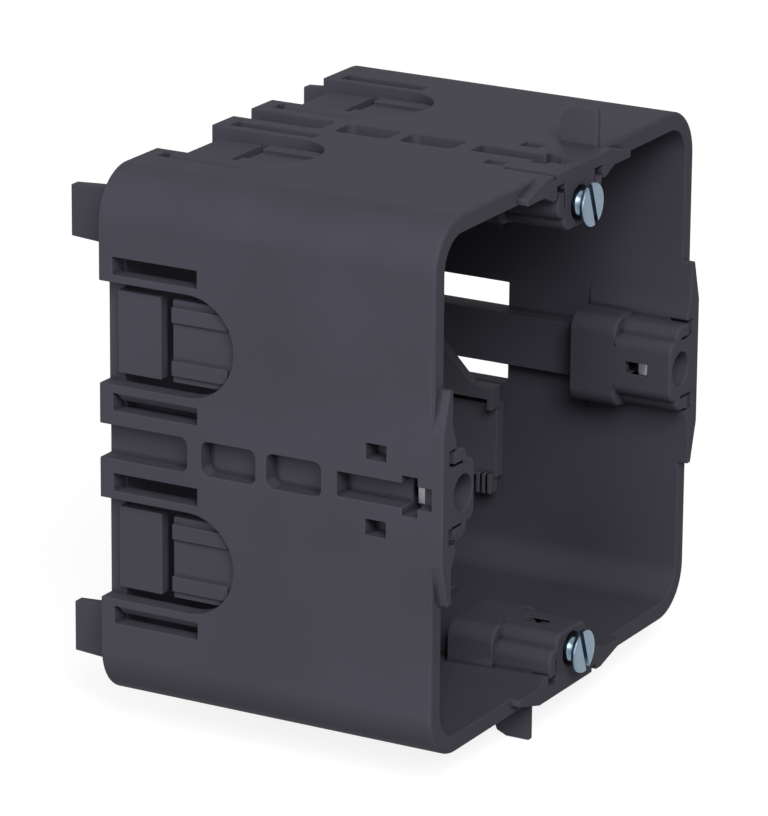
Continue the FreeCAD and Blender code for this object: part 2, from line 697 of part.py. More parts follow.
def cylinder_part(label, radius, height):
    """Part::Cylinder with its sizes bound to the sheet."""
    feature = doc.addObject("Part::Cylinder", label)
    for name, distance in (("Radius", radius), ("Height", height)):
        distance = as_size(distance)
        setattr(feature, name, distance.value)
        feature.setExpression(name, distance.formula)
    return feature


nut_body_half = nut_slot_half - nut_gap
nut_inner = axis_at - nut_slot_bottom + nut_gap
nut_front = nut_slot_start + nut_gap
nut_hole_radius = thread_radius + thread_gap


def nut_plate(label, turn):
    """One nut plate on the wall that the turn about Y gives; 0 is the left wall."""
    square = box_part(label + "_square", nut_body_length, nut_thickness, 2 * nut_body_half)
    placed(square, -nut_inner - nut_body_length, nut_front, -nut_body_half, turn)
    tail_length = half_width - nut_tail_gap - nut_inner - nut_body_length + merge
    tail = box_part(label + "_tail", tail_length, nut_thickness, 2 * nut_tail_half)
    placed(tail, -half_width + nut_tail_gap, nut_front, -nut_tail_half, turn)
    blank = doc.addObject("Part::Fuse", label + "_blank")
    blank.Base = square
    blank.Tool = tail
    blank.Refine = True
    angle = math.radians(turn)
    hole = cylinder_part(label + "_hole", nut_hole_radius, nut_thickness + 2 * merge)
    along_y(hole, -axis_at * round(math.cos(angle)), nut_front - merge,
            axis_at * round(math.sin(angle)))
    nut = doc.addObject("Part::Cut", label)
    nut.Label = label
    nut.Base = blank
    nut.Tool = hole
    return nut


nuts = [nut_plate("nut_left", 0), nut_plate("nut_top", 90),
        nut_plate("nut_right", 180), nut_plate("nut_bottom", 270)]


# Device screws, slotted and countersunk, in the top and bottom bosses

def device_screw(label, side):
    """One slotted countersunk screw; side is 1 at the top and -1 at the bottom."""
    height = side * axis_at
    screw = body_named(label)
    profile = sketch_on(screw, label + "_profile", "YZ_Plane", 0)
    head_face = -head_stand
    tip_y = head_face + screw_length
    corners = [
        (head_face, height), (head_face, height + head_radius),
        (head_face + head_rim, height + head_radius),
        (head_face + head_rim + head_cone, height + thread_radius),
        (tip_y - screw_tip, height + thread_radius),
        (tip_y, height + thread_radius - screw_tip), (tip_y, height)]
    polygon(profile, corners)
    turned = screw.newObject("PartDesign::Revolution", label + "_turned")
    turned.Profile = profile
    turned.ReferenceAxis = (profile, ["Edge%d" % len(corners)])
    turned.Angle = FULL_TURN
    slot = cross_sketch(screw, label + "_slot", head_face)
    lean = math.radians(screw_slot_angle.value)
    reach = (head_radius + merge) * 1.0
    wide = screw_slot_width / 2
    tilt_cos = Size("cos(%s * 1deg)" % screw_slot_angle.formula, math.cos(lean))
    tilt_sin = Size("sin(%s * 1deg)" % screw_slot_angle.formula, math.sin(lean))
    polygon(slot, [(reach * tilt_sin * u + wide * tilt_cos * v,
                    height - reach * tilt_cos * u + wide * tilt_sin * v)
                   for u, v in ((1, -1), (1, 1), (-1, 1), (-1, -1))])
    cut = pocket(screw, label + "_slot_cut", slot, screw_slot_depth)
    screw.Tip = cut
    return screw


screws = [device_screw("screw_top", 1), device_screw("screw_bottom", -1)]


# Cable clamp, hooked through the right wall's lower window

clamp = body_named("cable_clamp")
clamp_outer = inner_half - clamp_gap
clamp_inner = clamp_outer - clamp_thickness
clamp_bar_inner = clamp_inner - clamp_bar_reach
clamp_bar_top = -clamp_top + clamp_bar_height + merge

plate_outline = side_sketch(clamp, "plate_outline", clamp_inner)
rectangle(plate_outline, clamp_start, clamp_end, -clamp_top - clamp_height, -clamp_top)
plate = pad(clamp, "plate", plate_outline, clamp_thickness)

bar_front = clamp_start - merge
bar_low = -clamp_top - merge
bar_outline = side_sketch(clamp, "bar_outline", clamp_bar_inner)
polygon(bar_outline, [
    (bar_front, bar_low), (bar_front + clamp_bar_block, bar_low),
    (bar_front + clamp_bar_block, bar_low + clamp_bar_relief),
    (clamp_relief_end + merge, bar_low + clamp_bar_relief),
    (clamp_relief_end + merge, clamp_bar_top), (bar_front, clamp_bar_top)])
bar = pad(clamp, "bar", bar_outline, clamp_bar_reach + merge)

bridge_outline = side_sketch(clamp, "bridge_outline", clamp_bar_inner)
rectangle(bridge_outline, clamp_relief_end, clamp_end, bar_low, clamp_bar_top)
bridge = pad(clamp, "bridge", bridge_outline, clamp_bar_reach + clamp_thickness)

rib_profile = side_sketch(clamp, "rib_profile", clamp_bar_inner)
rib_foot = bar_front + clamp_rib_start
polygon(rib_profile, [
    (rib_foot, clamp_bar_top - merge), (clamp_end, clamp_bar_top - merge),
    (clamp_end, clamp_bar_top + clamp_rib_rise),
    (rib_foot + clamp_rib_rise, clamp_bar_top + clamp_rib_rise)])
rib = pad(clamp, "rib", rib_profile, ridge_at - clamp_gap - clamp_bar_inner)

tooth_outline = side_sketch(clamp, "tooth_outline", clamp_inner - clamp_thickness / 2)
for number in range(clamp_teeth):
    tooth_front = clamp_start + merge + number * clamp_tooth_pitch
    rectangle(tooth_outline, tooth_front, tooth_front + clamp_tooth_width,
              -clamp_top - clamp_height - clamp_tooth_drop,
              clamp_tooth_rise - clamp_top - clamp_height)
teeth = pad(clamp, "teeth", tooth_outline, clamp_thickness)

window_low = -window_near - window_height
hook_top = -ridge_half - clamp_gap
hook_rear = clamp_hook_start + clamp_hook_length
hook_root = side_sketch(clamp, "hook_root", clamp_inner)
rectangle(hook_root, clamp_hook_start, hook_rear, clamp_bar_top - merge, hook_top)
root = pad(clamp, "root", hook_root, clamp_thickness)

hook_neck = side_sketch(clamp, "hook_neck", clamp_outer - merge)
rectangle(hook_neck, clamp_hook_start, hook_rear, window_low + clamp_gap, hook_top)
neck = pad(clamp, "neck", hook_neck, wall + 2 * clamp_gap + 2 * merge)

hook_lip = side_sketch(clamp, "hook_lip", half_width + clamp_gap)
rectangle(hook_lip, clamp_hook_start, hook_rear, window_low - clamp_hook_lip, hook_top)
lip = pad(clamp, "lip", hook_lip, clamp_hook_lip)
clamp.Tip = lip

doc.recompute()

# Every object has to be sound before a node is written

for item in doc.Objects:
    if "Invalid" in item.State or "Error" in item.State:
        raise RuntimeError("%s did not rebuild" % item.Label)

for node in [housing, clamp] + nuts + screws:
    shape = node.Shape
    if shape.isNull() or not shape.isValid():
        raise RuntimeError("%s has no valid solid" % node.Label)
    if len(shape.Solids) != 1:
        raise RuntimeError("%s has %d solids" % (node.Label, len(shape.Solids)))
    shape.exportStep("parts/%s.step" % node.Label)
    print("%s: %.1f mm3" % (node.Label, shape.Volume))
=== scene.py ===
"""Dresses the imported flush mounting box: moulded plastic, zinc-plated screws and nut plates.

The housing, the cable clamp and the nut plates are copies of their own solids with
rounded edges. The two device screws are turned anew, with milled slots and threads.
"""

import logging
import math
from dataclasses import dataclass, field
from enum import Enum
from typing import Callable, Dict, List, Optional, Sequence, Tuple

import bmesh
import bpy
from mathutils import Matrix, Vector


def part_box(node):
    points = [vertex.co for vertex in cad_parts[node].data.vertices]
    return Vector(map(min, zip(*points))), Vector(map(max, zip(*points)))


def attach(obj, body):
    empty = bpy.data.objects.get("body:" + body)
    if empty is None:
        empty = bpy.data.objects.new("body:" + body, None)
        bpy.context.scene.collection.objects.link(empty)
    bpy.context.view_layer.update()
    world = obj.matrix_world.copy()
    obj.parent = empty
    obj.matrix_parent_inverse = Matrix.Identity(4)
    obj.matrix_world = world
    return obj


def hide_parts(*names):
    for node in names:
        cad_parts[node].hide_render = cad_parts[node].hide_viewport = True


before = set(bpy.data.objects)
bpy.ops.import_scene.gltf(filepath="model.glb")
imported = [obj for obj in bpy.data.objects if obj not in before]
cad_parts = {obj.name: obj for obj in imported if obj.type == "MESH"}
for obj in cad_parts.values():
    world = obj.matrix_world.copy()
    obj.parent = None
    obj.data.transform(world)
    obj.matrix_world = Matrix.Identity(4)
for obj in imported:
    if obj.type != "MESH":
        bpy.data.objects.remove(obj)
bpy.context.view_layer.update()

Colour = Tuple[float, float, float]
Triple = Tuple[float, float, float]

log = logging.getLogger("flush_box")

# Distance of the screw axes from the box's own axis
SCREW_AXIS = 0.03

# Slack for finding CAD corners by their place, and for joining the CAD's loose triangles
CAD_SLACK = 2e-5
WELD_SLACK = 2e-7
FLAT_DEGREES = 0.4

# Socket numbers of the Mix node where it mixes colours
MIX_A = 6
MIX_B = 7
MIX_COLOUR = 2


class ScrewPlace(Enum):
    """The two bosses that hold the box's own screws; the value is the side along Z."""

    TOP = 1
    BOTTOM = -1


class NutPlace(Enum):
    """The four nut plates; the value is the turn about Y from the left wall."""

    LEFT = 0
    TOP = 90
    RIGHT = 180
    BOTTOM = 270


# Shader node groups


class NodeWriter:
    """Adds nodes to one tree and links them by plain calls."""

    def __init__(self, tree: bpy.types.NodeTree) -> None:
        """Keep the tree that the nodes go into."""
        self.tree = tree
        self.column = 0

    def add(self, kind: str, inputs: Optional[Dict] = None,
            **settings: object) -> bpy.types.Node:
        """Add one node.

        Args:
            kind: Blender's node type name.
            inputs: socket name or number mapped to a value or to another node's output.
            settings: node properties such as operation or blend_type.

        Returns:
            The new node.
        """
        node = self.tree.nodes.new(kind)
        self.column += 1
        node.location = (180 * (self.column % 9), -220 * (self.column // 9))
        for name, value in settings.items():
            setattr(node, name, value)
        for name, value in (inputs or {}).items():
            socket = node.inputs[name]
            if isinstance(value, bpy.types.NodeSocket):
                self.tree.links.new(value, socket)
            else:
                socket.default_value = value
        return node

    def link(self, source: bpy.types.NodeSocket, target: bpy.types.NodeSocket) -> None:
        """Join an output to an input."""
        self.tree.links.new(source, target)


def shader_group(name: str, inputs: Sequence[Tuple], outputs: Sequence[Tuple],
                 fill: Callable[[NodeWriter, bpy.types.Node, bpy.types.Node], None]
                 ) -> bpy.types.NodeTree:
    """Build a shader node group once.

    Args:
        name: name of the group.
        inputs: (name, socket type, default) of each input.
        outputs: (name, socket type) of each output.
        fill: function that adds the nodes between the group's input and output.

    Returns:
        The node group.
    """
    if name in bpy.data.node_groups:
        return bpy.data.node_groups[name]
    tree = bpy.data.node_groups.new(name, "ShaderNodeTree")
    for label, kind, default in inputs:
        socket = tree.interface.new_socket(label, in_out="INPUT", socket_type=kind)
        socket.default_value = default
    for label, kind in outputs:
        tree.interface.new_socket(label, in_out="OUTPUT", socket_type=kind)
    writer = NodeWriter(tree)
    entry = writer.add("NodeGroupInput")
    leave = writer.add("NodeGroupOutput")
    fill(writer, entry, leave)
    return tree


def moulded_grain_group() -> bpy.types.NodeTree:
    """Fine eroded mould texture: a height and a slow change of tone.

    Returns:
        The group, with inputs Vector, Grain and Drift and outputs Height and Tone.
    """

    def fill(writer: NodeWriter, entry: bpy.types.Node, leave: bpy.types.Node) -> None:
        """Add the grain's and the tone's nodes.

        Args:
            writer: writer of the group's tree.
            entry: the group's input node.
            leave: the group's output node.
        """
        fine = writer.add("ShaderNodeTexNoise", {
            "Vector": entry.outputs["Vector"], "Scale": entry.outputs["Grain"],
            "Detail": 3.0, "Roughness": 0.6})
        pits = writer.add("ShaderNodeTexVoronoi", {
            "Vector": entry.outputs["Vector"], "Scale": entry.outputs["Grain"]})
        lift = 0.2
        both = writer.add("ShaderNodeMath", {
            0: fine.outputs["Fac"], 1: pits.outputs["Distance"], 2: lift},
            operation="MULTIPLY_ADD")
        writer.link(both.outputs[0], leave.inputs["Height"])
        slow = writer.add("ShaderNodeTexNoise", {
            "Vector": entry.outputs["Vector"], "Scale": entry.outputs["Drift"],
            "Detail": 2.0, "Roughness": 0.5})
        tone = writer.add("ShaderNodeMapRange", {
            "Value": slow.outputs["Fac"], "From Min": 0.3, "From Max": 0.7,
            "To Min": -1.0, "To Max": 1.0})
        writer.link(tone.outputs["Result"], leave.inputs["Tone"])

    return shader_group(
        "moulded_grain",
        [("Vector", "NodeSocketVector", (0.0, 0.0, 0.0)),
         ("Grain", "NodeSocketFloat", 4000.0), ("Drift", "NodeSocketFloat", 60.0)],
        [("Height", "NodeSocketFloat"), ("Tone", "NodeSocketFloat")], fill)


def edge_mask_group() -> bpy.types.NodeTree:
    """Mask that is 1 along edges, where a rounded normal leaves the flat one.

    Returns:
        The group, with input Radius and output Mask.
    """

    def fill(writer: NodeWriter, entry: bpy.types.Node, leave: bpy.types.Node) -> None:
        """Add the edge mask's nodes.

        Args:
            writer: writer of the group's tree.
            entry: the group's input node.
            leave: the group's output node.
        """
        rounded = writer.add("ShaderNodeBevel", {"Radius": entry.outputs["Radius"]}, samples=4)
        shape = writer.add("ShaderNodeNewGeometry")
        same = writer.add("ShaderNodeVectorMath", {
            0: rounded.outputs["Normal"], 1: shape.outputs["Normal"]},
            operation="DOT_PRODUCT")
        mask = writer.add("ShaderNodeMapRange", {
            "Value": same.outputs["Value"], "From Min": 1.0, "From Max": 0.75,
            "To Min": 0.0, "To Max": 1.0})
        writer.link(mask.outputs["Result"], leave.inputs["Mask"])

    return shader_group("edge_mask", [("Radius", "NodeSocketFloat", 0.0004)],
                        [("Mask", "NodeSocketFloat")], fill)


def painted_crevice_shade_group() -> bpy.types.NodeTree:
    """Painted shade mask from ambient occlusion, below 1 along seams and inner corners of a
    piece, where shade falls.

    Returns:
        The group, with inputs Reach and Least and output Mask.
    """

    def fill(writer: NodeWriter, entry: bpy.types.Node, leave: bpy.types.Node) -> None:
        """Add the painted shade's nodes.

        Args:
            writer: writer of the group's tree.
            entry: the group's input node.
            leave: the group's output node.
        """
        shut_in = writer.add("ShaderNodeAmbientOcclusion", {
            "Distance": entry.outputs["Reach"]}, samples=8, only_local=True)
        mask = writer.add("ShaderNodeMapRange", {
            "Value": shut_in.outputs["AO"], "From Min": 0.4, "From Max": 0.95,
            "To Min": entry.outputs["Least"], "To Max": 1.0})
        writer.link(mask.outputs["Result"], leave.inputs["Mask"])

    return shader_group(
        "crevice_mask",
        [("Reach", "NodeSocketFloat", 0.0006), ("Least", "NodeSocketFloat", 0.0)],
        [("Mask", "NodeSocketFloat")], fill)


def turned_rings_group() -> bpy.types.NodeTree:
    """Concentric turning marks around an axis along Y.

    Returns:
        The group, with inputs Vector and Pitch and output Height.
    """

    def fill(writer: NodeWriter, entry: bpy.types.Node, leave: bpy.types.Node) -> None:
        """Add the rings' nodes.

        Args:
            writer: writer of the group's tree.
            entry: the group's input node.
            leave: the group's output node.
        """
        parts = writer.add("ShaderNodeSeparateXYZ", {0: entry.outputs["Vector"]})
        flat = writer.add("ShaderNodeCombineXYZ", {
            0: parts.outputs["X"], 1: parts.outputs["Z"]})
        reach = writer.add("ShaderNodeVectorMath", {0: flat.outputs[0]}, operation="LENGTH")
        turns = writer.add("ShaderNodeMath", {
            0: reach.outputs["Value"], 1: entry.outputs["Pitch"]}, operation="DIVIDE")
        wobble = writer.add("ShaderNodeTexNoise", {
            "Vector": entry.outputs["Vector"], "Scale": 900.0, "Detail": 1.0})
        unevenness = 3.0
        shifted = writer.add("ShaderNodeMath", {
            0: wobble.outputs["Fac"], 1: unevenness, 2: turns.outputs[0]},
            operation="MULTIPLY_ADD")
        wave = writer.add("ShaderNodeMath", {0: shifted.outputs[0]}, operation="SINE")
        writer.link(wave.outputs[0], leave.inputs["Height"])

    return shader_group(
        "turned_rings",
        [("Vector", "NodeSocketVector", (0.0, 0.0, 0.0)), ("Pitch", "NodeSocketFloat", 2e-5)],
        [("Height", "NodeSocketFloat")], fill)


# Finishes


def scaled(colour: Colour, gain: float, lift: float = 0.0) -> Tuple[float, float, float, float]:
    """Lighten or darken a colour for a colour socket.

    Args:
        colour: red, green and blue.
        gain: factor of all three.
        lift: amount added to all three.

    Returns:
        The colour with full alpha.
    """
    red, green, blue = (min(1.0, part * gain + lift) for part in colour)
    return red, green, blue, 1.0


@dataclass(frozen=True)
class Finish:
    """What all finishes share: a named material, built once from nodes."""

    name: str

    def skin(self, writer: NodeWriter) -> bpy.types.Node:
        """Add the finish's nodes.

        Args:
            writer: writer of the material's empty tree.

        Returns:
            The shader node that the surface shows.
        """
        raise NotImplementedError

    def material(self) -> bpy.types.Material:
        """Build the material, or give the one already built.

        Returns:
            The material of this finish.
        """
        if self.name in bpy.data.materials:
            return bpy.data.materials[self.name]
        material = bpy.data.materials.new(self.name)
        material.use_nodes = True
        material.node_tree.nodes.clear()
        writer = NodeWriter(material.node_tree)
        shader = self.skin(writer)
        leave = writer.add("ShaderNodeOutputMaterial")
        writer.link(shader.outputs[0], leave.inputs["Surface"])
        return material


@dataclass(frozen=True)
class MouldedPlastic(Finish):
    """Dark moulded plastic with a fine eroded texture, a painted highlight along its edges and
    painted shade in its inner corners.
    """

    colour: Colour
    roughness: float = 0.66
    roughness_spread: float = 0.03
    tone_spread: float = 0.07
    gloss: float = 0.05
    grain_scale: float = 5200.0
    grain_depth: float = 0.000006
    grain_strength: float = 0.6
    drift: float = 55.0
    # Painted highlight: a lighter copy of the colour along the edges, for light caught on their
    # roundings
    edge_highlight_width: float = 0.00035
    edge_highlight_gain: float = 1.35
    edge_highlight_lift: float = 0.004
    edge_highlight_share: float = 0.55
    # Painted shade in seams and inner corners: how far it reaches and its darkest factor
    seam_shade_reach: float = 0.0006
    seam_shade_least: float = 0.08

    def body_colour(self, writer: NodeWriter, grain: bpy.types.Node) -> bpy.types.NodeSocket:
        """Mix the slow change of tone, the painted edge highlight and the painted shade of the
        inner corners.

        Args:
            writer: writer of the material's tree.
            grain: the moulded grain group in this tree.

        Returns:
            The colour output.
        """
        # Painted highlight: the edge mask mixes a lighter colour in along every edge
        edges = writer.add("ShaderNodeGroup", node_tree=edge_mask_group())
        edges.inputs["Radius"].default_value = self.edge_highlight_width
        tone = writer.add("ShaderNodeMapRange", {
            "Value": grain.outputs["Tone"], "From Min": -1.0, "From Max": 1.0})
        body = writer.add("ShaderNodeMix", {
            "Factor": tone.outputs["Result"],
            MIX_A: scaled(self.colour, 1.0 - self.tone_spread),
            MIX_B: scaled(self.colour, 1.0 + self.tone_spread)}, data_type="RGBA")
        share = writer.add("ShaderNodeMath", {
            0: edges.outputs["Mask"], 1: self.edge_highlight_share}, operation="MULTIPLY")
        highlighted = writer.add("ShaderNodeMix", {
            "Factor": share.outputs[0], MIX_A: body.outputs[MIX_COLOUR],
            MIX_B: scaled(self.colour, self.edge_highlight_gain, self.edge_highlight_lift)}, data_type="RGBA")
        # Painted shade: ambient occlusion darkens the colour in seams and inner corners
        seams = writer.add("ShaderNodeGroup", node_tree=painted_crevice_shade_group())
        seams.inputs["Reach"].default_value = self.seam_shade_reach
        seams.inputs["Least"].default_value = self.seam_shade_least
        colour = writer.add("ShaderNodeMix", {
            "Factor": 1.0, MIX_A: highlighted.outputs[MIX_COLOUR], MIX_B: seams.outputs["Mask"]},
            data_type="RGBA", blend_type="MULTIPLY")
        return colour.outputs[MIX_COLOUR]

    def skin(self, writer: NodeWriter) -> bpy.types.Node:
        """Add the plastic's nodes.

        Args:
            writer: writer of the material's empty tree.

        Returns:
            The plastic's shader.
        """
        place = writer.add("ShaderNodeTexCoord")
        grain = writer.add("ShaderNodeGroup", node_tree=moulded_grain_group())
        writer.link(place.outputs["Object"], grain.inputs["Vector"])
        grain.inputs["Grain"].default_value = self.grain_scale
        grain.inputs["Drift"].default_value = self.drift
        colour = self.body_colour(writer, grain)
        rough = writer.add("ShaderNodeMapRange", {
            "Value": grain.outputs["Tone"], "From Min": -1.0, "From Max": 1.0,
            "To Min": self.roughness - self.roughness_spread,
            "To Max": self.roughness + self.roughness_spread})
        bump = writer.add("ShaderNodeBump", {
            "Strength": self.grain_strength, "Distance": self.grain_depth,
            "Height": grain.outputs["Height"]})
        return writer.add("ShaderNodeBsdfPrincipled", {
            "Base Color": colour, "Roughness": rough.outputs["Result"],
            "Specular IOR Level": self.gloss, "Normal": bump.outputs["Normal"]})


@dataclass(frozen=True)
class ZincPlate(Finish):
    """Bright zinc plating on small steel pieces, with turning marks."""

    colour: Colour
    roughness: float
    centre: Triple = (0.0, 0.0, 0.0)
    ring_pitch: float = 0.00002
    ring_depth: float = 0.000002
    ring_strength: float = 0.5
    bloom_scale: float = 700.0
    dull_gain: float = 0.86
    smoother_by: float = 0.05
    rougher_by: float = 0.07

    def skin(self, writer: NodeWriter) -> bpy.types.Node:
        """Add the plating's nodes.

        Args:
            writer: writer of the material's empty tree.

        Returns:
            The plating's shader.
        """
        place = writer.add("ShaderNodeTexCoord")
        centred = writer.add("ShaderNodeMapping", {
            "Vector": place.outputs["Object"], "Location": tuple(-c for c in self.centre)})
        rings = writer.add("ShaderNodeGroup", node_tree=turned_rings_group())
        writer.link(centred.outputs["Vector"], rings.inputs["Vector"])
        rings.inputs["Pitch"].default_value = self.ring_pitch
        bloom = writer.add("ShaderNodeTexNoise", {
            "Vector": place.outputs["Object"], "Scale": self.bloom_scale, "Detail": 3.0})
        tint = writer.add("ShaderNodeMix", {
            "Factor": bloom.outputs["Fac"], MIX_A: scaled(self.colour, self.dull_gain),
            MIX_B: scaled(self.colour, 1.0)}, data_type="RGBA")
        rough = writer.add("ShaderNodeMapRange", {
            "Value": bloom.outputs["Fac"], "From Min": 0.3, "From Max": 0.7,
            "To Min": self.roughness - self.smoother_by,
            "To Max": self.roughness + self.rougher_by})
        bump = writer.add("ShaderNodeBump", {
            "Strength": self.ring_strength, "Distance": self.ring_depth,
            "Height": rings.outputs["Height"]})
        return writer.add("ShaderNodeBsdfPrincipled", {
            "Base Color": tint.outputs[MIX_COLOUR], "Metallic": 1.0,
            "Roughness": rough.outputs["Result"], "Normal": bump.outputs["Normal"]})


@dataclass(frozen=True)
class FloorPaint(Finish):
    """Pale floor paint that looks white to the camera and keeps a soft shadow."""

    paint: float = 0.35
    glow: float = 0.85

    def skin(self, writer: NodeWriter) -> bpy.types.Node:
        """Add the paint, and a glow that shows where the floor is the background.

        Args:
            writer: writer of the material's empty tree.

        Returns:
            The sum of both shaders.
        """
        matt = writer.add("ShaderNodeBsdfDiffuse", {
            "Color": (self.paint, self.paint, self.paint, 1.0)})
        amount = writer.add("ShaderNodeMath", {
            0: background_rays(writer), 1: self.glow}, operation="MULTIPLY")
        light = writer.add("ShaderNodeEmission", {
            "Color": (1.0, 1.0, 1.0, 1.0), "Strength": amount.outputs[0]})
        return writer.add("ShaderNodeAddShader", {
            0: matt.outputs["BSDF"], 1: light.outputs["Emission"]})


def background_rays(writer: NodeWriter) -> bpy.types.NodeSocket:
    """Mask that is 1 for the rays that show the background.

    Args:
        writer: writer of the tree that needs the mask.

    Returns:
        The mask's output.
    """
    path = writer.add("ShaderNodeLightPath")
    seen = writer.add("ShaderNodeMath", {
        0: path.outputs["Is Camera Ray"], 1: path.outputs["Is Glossy Ray"]},
        operation="MAXIMUM")
    either = writer.add("ShaderNodeMath", {
        0: seen.outputs[0], 1: path.outputs["Is Transmission Ray"]}, operation="MAXIMUM")
    return either.outputs[0]


# Mesh helpers


def new_piece(name: str, mesh: bpy.types.Mesh) -> bpy.types.Object:
    """Put a mesh into the scene as an object at the origin.

    Args:
        name: name of the piece.
        mesh: its mesh, in the shared frame.

    Returns:
        The new piece.
    """
    piece = bpy.data.objects.new(name, mesh)
    bpy.context.scene.collection.objects.link(piece)
    return piece


def applied(piece: bpy.types.Object) -> None:
    """Replace a piece's mesh by the result of its modifiers, and take them off.

    Args:
        piece: object with modifiers.
    """
    bpy.context.view_layer.update()
    graph = bpy.context.evaluated_depsgraph_get()
    mesh = bpy.data.meshes.new_from_object(piece.evaluated_get(graph))
    piece.modifiers.clear()
    piece.data = mesh


def coat(piece: bpy.types.Object, finish: Finish) -> None:
    """Give a piece one finish all over."""
    piece.data.materials.clear()
    piece.data.materials.append(finish.material())


def welded_copy(node: str, name: str) -> bpy.types.Object:
    """Copy a CAD node's surface with its loose triangles joined into flat faces.

    Args:
        node: the CAD node.
        name: name of the new piece.

    Returns:
        The new piece, with no modifier.
    """
    sheet = bmesh.new()
    sheet.from_mesh(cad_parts[node].data)
    bmesh.ops.remove_doubles(sheet, verts=sheet.verts, dist=WELD_SLACK)
    bmesh.ops.dissolve_limit(
        sheet, angle_limit=math.radians(FLAT_DEGREES), verts=sheet.verts,
        edges=sheet.edges, use_dissolve_boundaries=False)
    mesh = bpy.data.meshes.new(name)
    sheet.to_mesh(mesh)
    sheet.free()
    return new_piece(name, mesh)


def round_chosen(piece: bpy.types.Object, radius: float,
                 chosen: Callable[[Vector, Vector], bool], steps: int = 3,
                 angle: float = 50.0) -> None:
    """Give some sharp outer edges a wider rounding than the rest.

    Args:
        piece: object whose mesh has clean flat faces.
        radius: width of the rounding, in metres.
        chosen: tells from an edge's two ends whether it is rounded.
        steps: faces across each rounding.
        angle: least angle of an edge that gets rounded, in degrees.
    """
    sheet = bmesh.new()
    sheet.from_mesh(piece.data)
    weight = sheet.edges.layers.float.new("bevel_weight_edge")
    picked = 0
    for edge in sheet.edges:
        if not edge.is_convex or edge.calc_face_angle(0.0) < math.radians(angle):
            continue
        if chosen(edge.verts[0].co, edge.verts[1].co):
            edge[weight] = 1.0
            picked += 1
    sheet.to_mesh(piece.data)
    sheet.free()
    log.info("%s: %d edges get the wider rounding", piece.name, picked)
    bevel = piece.modifiers.new("round_chosen", "BEVEL")
    bevel.width = radius
    bevel.segments = steps
    bevel.limit_method = "WEIGHT"
    bevel.use_clamp_overlap = False
    bevel.loop_slide = False
    applied(piece)


def soften(piece: bpy.types.Object, radius: float, steps: int = 2,
           angle: float = 32.0) -> None:
    """Round every sharp edge of a piece and shade it smooth.

    Args:
        piece: object whose mesh has clean flat faces.
        radius: width of the rounding, in metres.
        steps: faces across each rounding.
        angle: least angle of an edge that gets rounded, in degrees.
    """
    bevel = piece.modifiers.new("round_edges", "BEVEL")
    bevel.width = radius
    bevel.segments = steps
    bevel.limit_method = "ANGLE"
    bevel.angle_limit = math.radians(angle)
    bevel.use_clamp_overlap = False
    bevel.loop_slide = False
    bevel.miter_outer = "MITER_SHARP"
    for face in piece.data.polygons:
        face.use_smooth = True
    applied(piece)
    level = piece.modifiers.new("level_faces", "WEIGHTED_NORMAL")
    level.mode = "FACE_AREA"
    level.weight = 100
    level.keep_sharp = False
    applied(piece)


# Pieces of the box


@dataclass
class Housing:
    """The one-piece moulding, with small roundings on all its edges.

    Each screw boss stands on a pad, which is a low raised strip of the wall. Sizes
    across the box count from its axis, and depths from the ears' front.
    """

    edge_round: float = 0.00014
    boss_edge_round: float = 0.0004
    boss_step: float = 0.0083
    boss_half: float = 0.0063
    screw_entry: float = 0.0027
    wall_inside: float = 0.03275
    pad_top: float = 0.03175
    pad_half: float = 0.0072
    pad_end: float = 0.015
    pad_run_out: float = 0.0022
    pad_sink: float = 0.0007
    finish: MouldedPlastic = MouldedPlastic("dark_box_plastic", (0.062, 0.060, 0.076))

    def on_boss_end(self, start: Vector, end: Vector) -> bool:
        """Tell whether an edge rims the front or the step of a screw boss.

        Args:
            start: one end of the edge.
            end: its other end.

        Returns:
            True for the boss's own outline on either of these two planes.
        """
        for depth in (0.0, self.boss_step):
            if all(abs(point.y - depth) < CAD_SLACK for point in (start, end)):
                return all(self.on_boss_outline(point) for point in (start, end))
        return False

    def on_boss_outline(self, point: Vector) -> bool:
        """Tell whether a point lies on a boss's outline and not on its screw entry.

        Args:
            point: a corner of the housing.

        Returns:
            True between the boss's sides, above its pad and outside the screw entry.
        """
        reach = max(abs(point.x), abs(point.z))
        side = min(abs(point.x), abs(point.z))
        on_boss = side < self.boss_half and reach < self.pad_top - CAD_SLACK / 2
        return on_boss and math.hypot(side, reach - SCREW_AXIS) > self.screw_entry

    def ease_pads(self, piece: bpy.types.Object) -> None:
        """Let the pads run out softly: sloping sides, and tops that sink to the rear.

        Args:
            piece: the housing, with clean flat faces.
        """
        rise = self.wall_inside - self.pad_top
        sloped = 0
        for vertex in piece.data.vertices:
            point = vertex.co
            out = 0 if abs(point.x) > abs(point.z) else 2
            across = 2 - out
            depth = abs(point[out]) - self.pad_top
            side = abs(point[across])
            if not -CAD_SLACK < depth < rise + CAD_SLACK:
                continue
            if not -CAD_SLACK < point.y < self.pad_end + CAD_SLACK:
                continue
            if depth < CAD_SLACK and side < self.pad_half + CAD_SLACK:
                sink = self.pad_sink * point.y / self.pad_end
                point[out] += math.copysign(sink, point[out])
            elif abs(side - self.pad_half) < CAD_SLACK:
                run_out = self.pad_run_out * depth / rise
                point[across] += math.copysign(run_out, point[across])
                sloped += 1
        log.info("%s: %d corners moved aside to slope the pads", piece.name, sloped)

    def build(self) -> bpy.types.Object:
        """Make the housing and let it stand for its CAD node.

        Returns:
            The finished piece.
        """
        piece = welded_copy("housing", "housing_moulded")
        self.ease_pads(piece)
        round_chosen(piece, self.boss_edge_round, self.on_boss_end)
        soften(piece, self.edge_round)
        coat(piece, self.finish)
        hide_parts("housing")
        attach(piece, "box")
        return piece


